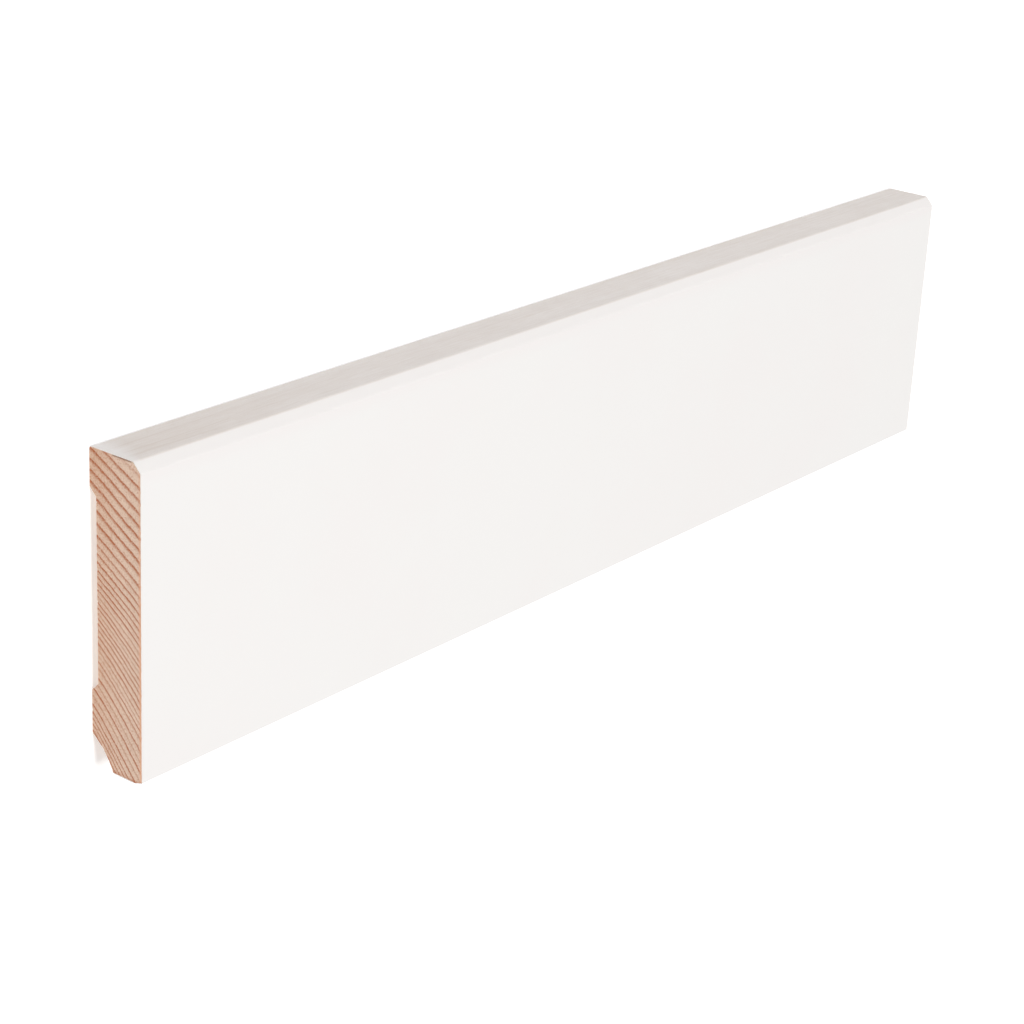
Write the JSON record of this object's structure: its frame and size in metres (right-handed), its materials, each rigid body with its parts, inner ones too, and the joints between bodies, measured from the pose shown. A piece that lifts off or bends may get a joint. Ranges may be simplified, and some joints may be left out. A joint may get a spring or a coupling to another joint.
{
  "type": "skirting board length",
  "caption": "Straight cut length of softwood skirting board: flat white-painted face, chamfered top edge, hollowed bare back and a coved bottom edge.",
  "frame": {"origin": "on the plane of the two back feet, under the middle of the board's length and of its face height", "axes": "+X along the board, +Y up the face towards the chamfered top edge, +Z out of the painted face"},
  "size_m": [0.4, 0.092, 0.019],
  "materials": {
    "painted_softwood": "satin white paint on the face and the top and bottom edges; back and sawn ends are bare softwood"
  },
  "bodies": {
    "root": {"skirting_board": "painted_softwood"}
  },
  "joints": []
}
